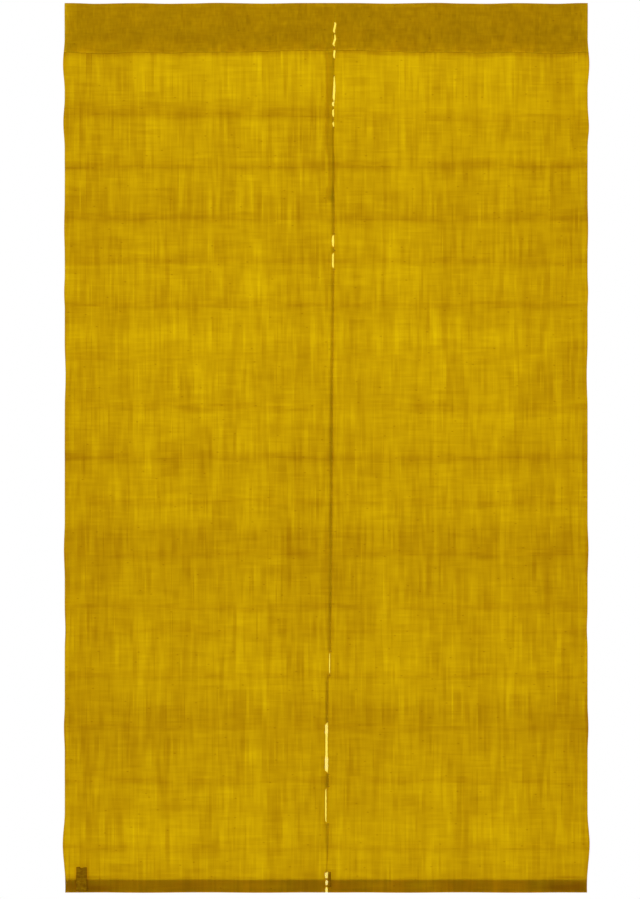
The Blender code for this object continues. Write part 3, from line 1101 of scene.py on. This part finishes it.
@dataclass
class Panel(LoomWidth):
    """One width of the cloth, from under the heading down to its triple-turned hem."""

    raw_edge: float = 0.0024         # the raw edge inside the hem stops this far above the bottom
    lip_pitch: float = 0.0009        # rows under the heading's edge and at an open stretch's ends
    fine_pitch: float = 0.0021       # rows where the cloth turns sharply
    coarse_pitch: float = 0.0047     # rows elsewhere
    lip: float = 2.8                 # mm that those closest rows reach
    before_crease: float = 2.0       # mm that the fine rows start before a crease does
    past_crease: float = 10.0        # mm below a crease that its painted shade fades over
    crease_shade_mean: float = 0.85         # how much of a crease's painted shade shows on the whole
    crease_shade_fades: float = 0.26        # how much it fades in and out along its line
    crease_shade_length: float = 60.0       # mm from one such place to the next
    crease_shade_least: float = 0.4
    selvedge: float = 5.0            # mm of closer warp at the outer selvedge
    selvedge_density: float = 0.05
    slit_selvedge: float = 4.5       # mm of closer warp beside the slit, where the panels only meet
    slit_selvedge_density: float = 0.10
    hem_pressed: float = 0.46        # how much of the pressed cloth's colour the hem has
    crushing: float = 2.0            # how much more of it for each bit that the hem is crushed
    line_reach: float = 2.6          # mm either side of a crease where a dark line of painted shade comes and goes
    line_share: float = 1.2          # how much darker the line is than the crease around it
    line_runs_on: float = 0.14       # how much of it is left between its dark places
    line_length: float = 24.0
    wander: float = 1.6              # mm that a crease strays from its line
    wander_length: float = 90.0
    seam_inset: float = 1.6 * MM     # the hem's seam runs this far below its upper edge
    seam_ends: float = 4 * MM
    seam_pitch: float = 9 * MM
    seam_sway: float = 0.4 * MM
    seam_thread: float = 0.42 * MM
    prick: float = 1.3 * MM          # a prick's length in front
    prick_slant: float = 0.2
    slip: float = 3.6 * MM           # a stitch's length behind
    slip_slant: float = 0.9
    slip_above: float = 0.6 * MM

    def pitch_at(self, drop: float) -> float:
        """Give how far apart the rows lie at one drop.

        Args:
            drop: metres below the top edge.

        Returns:
            Metres to the next row.
        """
        level = drop / MM
        starts = [c.above + self.before_crease for c in CREASES]
        creased = any(-s <= level - c.drop <= self.past_crease for s, c in zip(starts, CREASES))
        lips = (self.form.heading / MM, *[end for gap in GAPS for end in (gap.top, gap.bottom)])
        if any(abs(level - lip) < self.lip for lip in lips):
            return self.lip_pitch
        return self.fine_pitch if creased else self.coarse_pitch

    def profile(self) -> list[Spot]:
        """Give the cut profile: down the sheet, then round the hem, turned up twice behind it."""
        form = self.form
        bottom = form.drop - self.thickness / 2 - form.layer
        tight = form.layer / 2
        hem_top = form.drop - form.hem + self.thickness / 2 + tight
        rows = [form.heading - form.catch]
        while rows[-1] < bottom - self.fine_pitch:
            rows.append(min(rows[-1] + self.pitch_at(rows[-1]), bottom))
        sheet = [Spot(0.0, drop) for drop in rows if drop < bottom]
        under = half_turn(form.layer, bottom, form.layer, down=True)
        up = [Spot(2 * form.layer, d) for d in even_steps(bottom, hem_top, self.coarse_pitch)[1:-1]]
        over = half_turn(form.layer + tight, hem_top, tight, down=False)
        ends = even_steps(hem_top, form.drop - self.raw_edge, self.coarse_pitch)[1:]
        return sheet + under + up + over + [Spot(form.layer, d) for d in ends]

    def creased(self, across: float, level: float) -> float:
        """Give how much darker the creases are drawn, as painted shade that is partly pressed yarns: softly
        above each line, sharply below.

        Args:
            across: mm right of the centre.
            level: mm drop.

        Returns:
            The extra density.
        """
        total = 0.0
        for crease in CREASES:
            stray, fade, strong = (
                noise.noise(Vector((across / length, crease.drop, seed)))
                for length, seed in (
                    (self.wander_length, STRAY), (self.crease_shade_length, FADE), (self.line_length, DARK)
                )
            )
            below = level - crease.drop - 2.0 * self.wander * stray
            if not -crease.above < below < self.past_crease:
                continue
            shade = ease(1 + below / crease.above) if below <= 0 else 1 - ease(below / self.past_crease)
            amount = crease.left if self.side is Side.LEFT else crease.right
            total += amount * shade * max(self.crease_shade_least, self.crease_shade_mean + 2.0 * self.crease_shade_fades * fade)
            dark = max(0.0, self.line_runs_on + strong)
            total += amount * self.line_share * dark * bump(below, self.line_reach)
        return total

    def worn(self, across: float, level: float) -> float:
        """Give how much the cloth is crushed at a place in mm, or worn thin where it is negative."""
        return sum(
            s.amount * bump(across - s.across, s.half_across) * bump(level - s.drop, s.half_drop)
            for s in STAINS
        )

    def density(self, place: Place, spot: Spot) -> float:
        """Give how much closer than plain cloth the yarns lie, together with painted shade along the creases
        and painted light at the heading's seam.

        Args:
            place: the place in the room.
            spot: its spot on the profile.

        Returns:
            The extra density.
        """
        across, level = place[0] / MM, spot.drop / MM
        left = self.side is Side.LEFT
        bands = sum((b.left if left else b.right) * bump(level - b.drop, b.half) for b in BANDS)
        from_edge = self.form.outer_edge(spot.drop) / MM - abs(across)
        edge = self.selvedge_density * bump(from_edge, self.selvedge)
        if not left:
            from_slit = across - self.form.across_panel(self.side, 0.0, spot.drop) / MM
            meets = 1.0 - self.form.lapped(spot.drop)
            edge += self.slit_selvedge_density * meets * bump(from_slit, self.slit_selvedge)
        warp = along(WARP_BANDS, abs(across))
        return self.creased(across, level) + bands + warp + edge + self.worn(across, level)

    def pressed(self, place: Place, spot: Spot) -> float:
        """Give how hard the cloth was pressed: along the hem, more where it is crushed, and under the label.

        Args:
            place: the place in the room.
            spot: its spot on the profile.

        Returns:
            The share of the pressed cloth's colour.
        """
        if self.side is Side.LEFT and LABEL.covers(place[0], spot.drop):
            return 1.0
        if spot.drop < self.form.drop - self.form.hem:
            return 0.0
        return self.hem_pressed + self.crushing * self.worn(place[0] / MM, spot.drop / MM)

    def stitches(self, name: str, finish: Material) -> Piece:
        """Sew the hem: a tiny prick in front for each slanting stitch behind.

        Args:
            name: the piece's name.
            finish: the thread's material.

        Returns:
            The finished piece.
        """
        form = self.form
        drop = form.drop - form.hem + self.seam_inset
        stitches = []
        for count, across in enumerate(self.seam_places(drop, self.seam_ends, self.seam_pitch)):
            sway = self.seam_sway * math.sin(HEM_SWAY * count)
            front = Spot(-self.thickness / 2, drop + sway)
            behind = Spot(2 * form.layer + self.thickness / 2, drop - self.slip_above + sway)
            for spot, slant, length in (
                (front, self.prick_slant, self.prick), (behind, self.slip_slant, self.slip)
            ):
                middle = form.surface(self.side, across, spot)
                stitches.append(Stitch(middle, slant, length, self.seam_thread))
        return sew(name, stitches, finish)


@dataclass
class Heading(LoomWidth):
    """The strip of cloth that is folded over the rod's place and sewn along its lower edge."""

    from_bolt: float = 5.0
    fold_steps: int = 18
    row_pitch: float = 0.0016
    seam_half: float = 0.00046       # from the middle plane to either layer, where the seam draws them in
    layer_density: float = -0.03
    warp_band_share: float = 0.25    # how much of the panel's upright bands shows in the two layers
    # Painted light beside the slit, where the two headings meet, in place of the contact shadow there.
    slit_reach: float = 4.0          # mm beside the slit over which the heading is painted lighter
    slit_painted_light: float = -0.14
    stitch_pitch: float = 0.0065
    stitch_length: float = 0.0030
    stitch_thickness: float = 0.00036
    stitch_turn: float = 0.12        # radians that a stitch slants, either way
    seam_inset: float = 0.0012       # the seam runs this far above the lower edge
    seam_ends: float = 3 * MM
    seam_sway: float = 0.25 * MM

    @property
    def radius(self) -> float:
        """The radius of the top fold, to the middle of the cloth."""
        return self.form.rod_space + self.thickness / 2

    def pocket_half(self, drop: float) -> float:
        """Give the distance from the pocket's middle plane to either of its layers, below the top fold.

        Args:
            drop: metres below the top edge.

        Returns:
            Metres.
        """
        start = self.radius + self.thickness / 2
        share = (drop - start) / (self.form.heading - start)
        taper = 0.5 * (1.0 - share) + 0.5 * math.cos(math.pi / 2 * share)
        return self.seam_half + (self.radius - self.seam_half) * taper

    def profile(self) -> list[Spot]:
        """Give the cut profile: up the front layer, over the rod's place, and down the back layer."""
        centre = self.radius + self.thickness / 2
        drops = even_steps(self.form.heading, centre, self.row_pitch)[:-1]
        front = [Spot(-self.pocket_half(drop), drop) for drop in drops]
        turns = [math.pi * step / self.fold_steps for step in range(self.fold_steps + 1)]
        fold = [Spot(-self.radius * math.cos(t), centre - self.radius * math.sin(t)) for t in turns]
        return front + fold + [Spot(self.pocket_half(drop), drop) for drop in reversed(drops)]

    def density(self, place: Place, spot: Spot) -> float:
        """Give how much closer the yarns lie than in plain cloth, together with painted light and shade
        across the pocket and painted light beside the slit.

        Args:
            place: the place in the room.
            spot: its spot on the profile.

        Returns:
            The extra density.
        """
        across, level = place[0] / MM, spot.drop / MM
        warp = self.warp_band_share * along(WARP_BANDS, abs(across))
        bands = sum(b.left * bump(level - b.drop, b.half) for b in HEADING_LIGHT_AND_SHADE)
        from_slit = across - self.form.across_panel(self.side, 0.0, spot.drop) / MM
        return self.layer_density + warp + bands + self.slit_painted_light * bump(from_slit, self.slit_reach)

    def stitches(self, name: str, finish: Material) -> Piece:
        """Sew the strip to the panel with a running stitch, in and out through both layers.

        Args:
            name: the piece's name.
            finish: the thread's material.

        Returns:
            The finished piece.
        """
        drop = self.form.heading - self.seam_inset
        out = self.pocket_half(drop) + self.thickness / 2
        stitches = []
        for count, across in enumerate(self.seam_places(drop, self.seam_ends, self.stitch_pitch / 2)):
            sway = self.seam_sway * math.sin(SEAM_SWAY * count)
            spot = Spot(-out if count % 2 else out, drop + sway)
            middle = self.form.surface(self.side, across, spot)
            slant = self.stitch_turn * math.sin(SEAM_TURN * count)
            stitches.append(Stitch(middle, slant, self.stitch_length, self.stitch_thickness))
        return sew(name, stitches, finish)


@dataclass
class TurnedEdge(ClothSheet):
    """A panel's slit edge, turned back behind it along the upper part of the slit."""

    thickness: float = 0.0003
    from_bolt: float = 9.0
    columns: int = 8
    behind: float = 0.00065          # from the middle of the panel to the middle of the turned edge
    row_pitch: float = 0.0016
    openness: float = -0.75          # its raw side was picked thin before it was turned
    slit_share: float = 0.27         # how much of that openness is left beside the slit
    inset: float = 0.0009            # from the slit edge to its fold
    # at: mm drop; value: mm wide
    widths: tuple[Point, ...] = table(
        Point,
        (87, 13.0), (128, 13.0), (150, 11.0), (200, 11.0), (212, 13.0), (247, 13.0), (262, 9.0), (308, 9.0),
        (315, 12.5), (330, 12.5), (336, 5.0),
    )

    def profile(self) -> list[Spot]:
        """Give the cut profile: straight down behind the panel."""
        drops = even_steps(self.widths[0].at * MM, self.widths[-1].at * MM, self.row_pitch)
        return [Spot(self.behind, drop) for drop in drops]

    def place(self, share: float, spot: Spot) -> Place:
        """Give the place of a share of the turned width, from the slit edge outwards."""
        across = self.form.across_panel(self.side, 0.0, spot.drop) - self.inset
        return self.form.surface(self.side, across - along(self.widths, spot.drop / MM) * MM * share, spot)

    def density(self, place: Place, spot: Spot) -> float:
        """Give how much more open the yarns lie, the most along its raw side.

        Args:
            place: the place in the room.
            spot: its spot on the profile.

        Returns:
            The extra density, which is negative.
        """
        from_slit = self.form.across_panel(self.side, 0.0, spot.drop) - place[0]
        share = min(from_slit / (along(self.widths, spot.drop / MM) * MM), 1.0)
        return self.openness * (self.slit_share + (1.0 - self.slit_share) * share**3)


@dataclass(kw_only=True)
class FoldedTape(ClothSheet):
    """A short plain tape, folded double at its top, on the front of the cloth over the hem."""

    patch: Patch
    frayed: tuple[Point, ...]        # at: share across; value: mm that the top is worn down
    thickness: float = 0.0006
    fold: float = 0.45 * MM          # from the fold's middle to either layer's
    row_pitch: float = 3 * MM
    fray_reach: float = 9.0          # mm below the top that the wear draws the tape down

    def profile(self) -> list[Spot]:
        """Give the cut profile: up the back layer, over the top, and down the front layer."""
        middle = -self.form.layer - self.fold
        start = self.patch.top + self.fold + self.thickness / 2
        drops = even_steps(start, self.patch.bottom, self.row_pitch)[1:]
        back = [Spot(middle + self.fold, drop) for drop in reversed(drops)]
        front = [Spot(middle - self.fold, drop) for drop in drops]
        return back + half_turn(middle, start, self.fold, down=False) + front

    def place(self, share: float, spot: Spot) -> Place:
        """Give the place of a share of the width on one spot of the profile.

        Args:
            share: from 0 at the tape's left side to 1 at its right side.
            spot: the spot.

        Returns:
            The place in the room.
        """
        across = self.patch.left + self.patch.width * share
        near_top = bump((spot.drop - self.patch.top) / MM, self.fray_reach)
        worn = along(self.frayed, share) * MM * near_top
        back = spot.back + self.form.parting(self.side, across, spot.drop)
        return across, back - self.form.relief(across, spot.drop), -spot.drop - worn


@dataclass
class SlitSewing:
    """The hand sewing that joins the panels: ties across the slit's open stretches and a whipped lap."""

    form: HangingForm
    thread: float = 0.00055          # the thread's thickness
    turn_pitch: float = 0.95         # from one turn of a tie to the next, as a share of that
    reach: float = 0.0017            # how far into the cloth a tie's ends go
    reach_varies: float = 0.15
    bend: float = 0.6                # the share of the reach at which a tie turns into the cloth
    edge_reach: float = 0.4 * MM     # how far it lies beside the slit before that
    bend_lean: float = 0.7           # the share of its lean that it has at the bend
    edge_lean: float = 0.3           # the same beside the slit
    lap_proud: float = 0.05          # how much further in front it is, as a share of the lap there
    ends_in: float = 0.1 * MM        # how deep in the cloth it ends
    proud: float = 0.2 * MM          # how far in front of the cloth's middle its back is
    yarns: int = 8                   # loosened yarns that run down each open stretch
    yarn_thickness: float = 0.0008
    yarn_swing: float = 0.0002
    yarn_pitch: float = 3.0          # mm from one bend of a loosened yarn to the next
    yarn_past: float = 0.8           # mm that it runs on past either end
    yarn_behind: float = 0.0003      # from the middle of the front layer to the middle of a yarn
    whip_starts: float = 0.325       # metres drop
    whip_pitch: float = 0.0125
    whip_length: float = 0.0036
    whip_sway: float = 2.2 * MM
    whip_inset: float = 0.7 * MM
    whip_proud: float = 0.25 * MM
    whip_slant: float = 0.75
    whip_turn: float = 0.3
    whip_least: float = 0.5          # the least lap that is whipped, as a share of the full one
    ties: tuple[Tie, ...] = table(
        Tie,
        (55, 2, -2.0), (79.5, 3, 0.6), (98.5, 2, 1.2), (124.5, 2, -0.8), (166.3, 2, 0.8), (177, 2, 1.0),
        (196, 3, 0.8), (210, 2, 1.0), (389.5, 2, 0.8), (417, 3, 1.0), (449.5, 2, -0.8), (1093, 2, 0.6),
        (1134, 2, 0.8), (1211.5, 2, 0.8), (1300.5, 3, 1.0), (1321.5, 2, -0.8), (1384, 2, 0.8),
        (1464.6, 2, 0.6), (1477.5, 3, 0.4), (1488.7, 4, 0.4),
    )

    def front(self, drop: float) -> float:
        """Give how far behind the hanging sheet the front layer is, less than nothing in the heading."""
        return 0.0 if drop > self.form.heading else -Heading(Side.LEFT, self.form).pocket_half(drop)

    def yarn_path(self, gap: Gap, strand: int) -> list[Place]:
        """Give the places that a loosened yarn runs through, from over an open stretch to under it.

        Args:
            gap: the open stretch.
            strand: which yarn it is, from the left.

        Returns:
            The places.
        """
        path = []
        share = 2 * strand / (self.yarns - 1) - 1.0
        steps = even_steps(gap.top - self.yarn_past, gap.bottom + self.yarn_past, self.yarn_pitch)
        for count, level in enumerate(steps):
            drop = min(level * MM, self.form.drop - self.form.layer)
            half = max(gap.width * MM, self.form.slit_width(drop)) / 2
            swing = math.sin(YARN_SWAY * count + YARN_PHASE * strand + gap.top)
            across = self.form.slit_line(drop) + share * half + self.yarn_swing * swing
            spot = Spot(self.front(drop) + self.yarn_behind, drop)
            path.append(self.form.surface(Side.LEFT, across, spot))
        return path

    def loosened_yarns(self, finish: Material) -> Piece:
        """Run the panels' loosened edge yarns down the open stretches."""
        apart = [g for g in GAPS if not any(o.top < g.top and g.bottom < o.bottom for o in GAPS)]
        paths = [self.yarn_path(gap, strand) for gap in apart for strand in range(self.yarns)]
        return run_threads("loosened_yarns", paths, self.yarn_thickness / 2, finish)

    def thread_path(self, tie: Tie, turn: int) -> list[Place]:
        """Give the places that one turn of a tie runs through, from the left panel to the right one.

        Args:
            tie: the tie.
            turn: which turn it is, from the top.

        Returns:
            The places.
        """
        drop = (tie.drop + (turn - (tie.turns - 1) / 2) * self.thread / MM * self.turn_pitch) * MM
        left = self.form.across_panel(Side.LEFT, 0.0, drop)
        right = self.form.across_panel(Side.RIGHT, 0.0, drop)
        last = max(right, left)
        lap = max(0.0, left - right)
        into = self.front(drop) + self.ends_in
        depth = self.front(drop) - self.proud - self.thread / 2
        reach = self.reach * (1.0 + self.reach_varies * math.sin(TIE_SWAY * turn + tie.drop))
        low = tie.lean * MM / 2
        ends = (
            (Side.LEFT, left - reach, -low, into),
            (Side.LEFT, left - reach * self.bend, -low * self.bend_lean, depth),
            (Side.LEFT, left - self.edge_reach, -low * self.edge_lean, depth - lap * self.lap_proud),
            (Side.RIGHT, last + self.edge_reach, low * self.edge_lean, depth),
            (Side.RIGHT, last + reach * self.bend, low * self.bend_lean, depth),
            (Side.RIGHT, last + reach, low, into),
        )
        return [self.form.surface(side, x, Spot(back, drop + below)) for side, x, below, back in ends]

    def tie_threads(self, finish: Material) -> Piece:
        """Make the ties."""
        paths = [self.thread_path(tie, turn) for tie in self.ties for turn in range(tie.turns)]
        return run_threads("slit_ties", paths, self.thread / 2, finish)

    def lap_stitches(self, finish: Material) -> Piece:
        """Whip the left panel's edge down on the right one, wherever the slit is closed.

        Args:
            finish: the thread's material.

        Returns:
            The finished piece.
        """
        stitches = []
        steps = even_steps(self.whip_starts, self.form.drop - self.form.hem, self.whip_pitch)
        for count, level in enumerate(steps):
            drop = level + self.whip_sway * math.sin(WHIP_SWAY * count)
            if self.form.slit_width(drop) > -self.form.lap * self.whip_least:
                continue
            across = self.form.across_panel(Side.LEFT, 0.0, drop) - self.whip_inset
            middle = self.form.surface(Side.LEFT, across, Spot(-self.whip_proud, drop))
            slant = self.whip_slant + self.whip_turn * math.sin(WHIP_TURN * count)
            stitches.append(Stitch(middle, slant, self.whip_length, self.thread))
        return sew("lap_stitches", stitches, finish)


# --- Studio ---


@dataclass(frozen=True)
class Studio:
    """A pale floor under the curtain, white soft light all round, and the camera in front."""

    distance: float = 8.0            # from the camera to the cloth
    camera_across: float = -0.0104
    camera_height: float = -0.7530
    frame_height: float = 1.5155     # metres of the cloth's plane from the picture's bottom to its top
    sensor: float = 36.0             # mm, along the picture's longer side
    floor_size: float = 2.2
    floor_thickness: float = 0.02
    floor_below: float = 0.20        # metres under the hem
    surround: float = 1.0
    key_power: float = 42.0
    key_size: float = 2.4
    key_place: Place = (-1.9, -3.4, 1.3)

    def add_camera(self) -> None:
        """Add the camera, level and square to the curtain."""
        lens = bpy.data.cameras.new("camera")
        lens.sensor_width = self.sensor
        lens.lens = self.sensor * self.distance / self.frame_height
        camera = bpy.data.objects.new("camera", lens)
        camera.location = (self.camera_across, -self.distance, self.camera_height)
        camera.rotation_euler = (math.pi / 2, 0.0, 0.0)
        bpy.context.scene.collection.objects.link(camera)
        bpy.context.scene.camera = camera

    def add_light(self) -> None:
        """Add the white surround and the soft key light."""
        scene = bpy.context.scene
        scene.view_settings.view_transform = "Standard"
        world = bpy.data.worlds.new("surround")
        world.use_nodes = True
        background = world.node_tree.nodes["Background"]
        background.inputs["Color"].default_value = (1.0, 1.0, 1.0, 1.0)
        background.inputs["Strength"].default_value = self.surround
        scene.world = world
        lamp = bpy.data.lights.new("key", "AREA")
        lamp.shape = "SQUARE"
        lamp.size = self.key_size
        lamp.energy = self.key_power
        key = bpy.data.objects.new("key", lamp)
        key.location = self.key_place
        aim = Vector((0.0, 0.0, self.camera_height)) - Vector(self.key_place)
        key.rotation_euler = aim.to_track_quat("-Z", "Y").to_euler()
        scene.collection.objects.link(key)

    def add_floor(self, drop: float) -> None:
        """Add the floor under a curtain.

        Args:
            drop: the curtain's drop.
        """
        deselect_all()
        top = -drop - self.floor_below
        bpy.ops.mesh.primitive_cube_add(size=1.0, location=(0.0, 0.0, top - self.floor_thickness / 2))
        floor = bpy.context.active_object
        floor.name = "floor"
        floor.scale = (self.floor_size, self.floor_size, self.floor_thickness)
        bpy.ops.object.transform_apply(location=True, rotation=True, scale=True)
        edge = floor.modifiers.new("Edge", "BEVEL")
        edge.width = self.floor_thickness / 4
        edge.segments = 3
        bpy.ops.object.modifier_apply(modifier=edge.name)
        floor.data.materials.append(MattBoard("matt_emulsion_board").make())


# --- The whole ---


@dataclass
class Curtain:
    """The noren: two panels, their headings, the sewing between them, the label and the scrap."""

    form: HangingForm
    loom_width: float = 0.44         # a panel's flat width
    strip_length: float = 0.177      # a heading's flat length
    tuck: float = 4 * MM             # what the hem's turns take off its two heights of cloth

    def hang(self, piece: Piece, slot: str, *replaced: str) -> Piece:
        """Let a piece hang with the frame's body, and hide the frame's nodes that it stands for.

        Args:
            piece: the finished piece.
            slot: the record's material slot, which is not used.
            *replaced: the frame's nodes that it replaces.

        Returns:
            The same piece.
        """
        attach(piece, "root")
        if replaced:
            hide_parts(*replaced)
        return piece

    def build(self) -> None:
        panel_cloth = SheerCloth("sheer_ramie_plain_weave").make()
        heading_cloth = SheerCloth("ramie_plain_weave_heading", streaks=HEADING_STREAKS).make()
        tape = WovenTape("ribbed_cotton_tape").make()
        thread = SewingThread("ramie_sewing_thread").make()
        # The ties' darker thread is painted shade on the bars of thread across the slit.
        tie_thread = SewingThread("ramie_tie_thread_painted_shade", shadow="#A0760A", light="#C4960F").make()
        # The loosened yarns are pale raw fibre, drawn near white so that they also paint the light that
        # shines through the open slit from behind.
        yarn = SewingThread("pale_ramie_yarn_painted_backlight", shadow="#FFE44E", light="#FFEE5A").make()
        edge_cloth = SheerCloth("thinned_ramie_plain_weave", thin="#FCE835", dense="#C9A922").make()
        left, right = self.left_trims(edge_cloth, tape), self.right_trims(tape)
        sewing = SlitSewing(self.form)
        left.append(self.hang(sewing.tie_threads(tie_thread), "sheer_cloth"))
        left.append(self.hang(sewing.loosened_yarns(yarn), "sheer_cloth"))
        left.append(self.hang(sewing.lap_stitches(thread), "sheer_cloth"))
        for side, trims in ((Side.LEFT, left), (Side.RIGHT, right)):
            self.build_side(side, panel_cloth, heading_cloth, thread)

    def build_side(
        self,
        side: Side,
        panel_cloth: Material,
        heading_cloth: Material,
        thread: Material,
    ) -> None:
        """Args:
            side: the panel to build.
            panel_cloth: its material.
            heading_cloth: its heading's material.
            thread: the sewing thread's material.
        """
        word = side.name.lower()
        panel, heading = Panel(side, self.form), Heading(side, self.form)
        hem = self.hang(panel.stitches(f"hem_stitches_{word}", thread), "sheer_cloth")
        seam = self.hang(heading.stitches(f"heading_stitches_{word}", thread), "heading_cloth")
        cloth = panel.build(f"cloth_{word}", panel_cloth)
        self.hang(cloth, "sheer_cloth", f"panel_{word}")
        strip = heading.build(f"heading_cloth_{word}", heading_cloth)
        self.hang(strip, "heading_cloth", f"heading_{word}")

    def left_trims(self, cloth: Material, tape: Material) -> list[Piece]:
        """Build the turned edge and the plain label of the left panel.

        Args:
            cloth: the turned edge's material.
            tape: the label's material.

        Returns:
            The two pieces.
        """
        edge = self.hang(TurnedEdge(Side.LEFT, self.form).build("turned_edge", cloth), "sheer_cloth")
        frayed = table(Point, (0.0, 0.2), (0.3, 0.0), (0.45, 2.2), (0.6, 1.6), (0.75, 0.2), (1.0, 0.9))
        label = FoldedTape(Side.LEFT, self.form, patch=LABEL, frayed=frayed).build("label_tape", tape)
        self.hang(label, "label_tape", "side_label")
        return [edge, label]

    def right_trims(self, tape: Material) -> list[Piece]:
        """Build the scrap at the right panel's inner corner."""
        frayed = table(Point, (0.0, 0.0), (0.4, 1.0), (1.0, 0.3))
        scrap = FoldedTape(Side.RIGHT, self.form, patch=SCRAP, frayed=frayed).build("scrap_tape", tape)
        return [self.hang(scrap, "label_tape", "corner_tab")]


def main() -> None:
    """Build the curtain in its studio and note the sizes."""
    logging.basicConfig(level=logging.INFO, format="%(name)s: %(message)s")
    studio = Studio()
    studio.add_camera()
    studio.add_light()
    studio.add_floor(FORM.drop)
    Curtain(FORM).build()


if __name__ == "__main__":
    main()
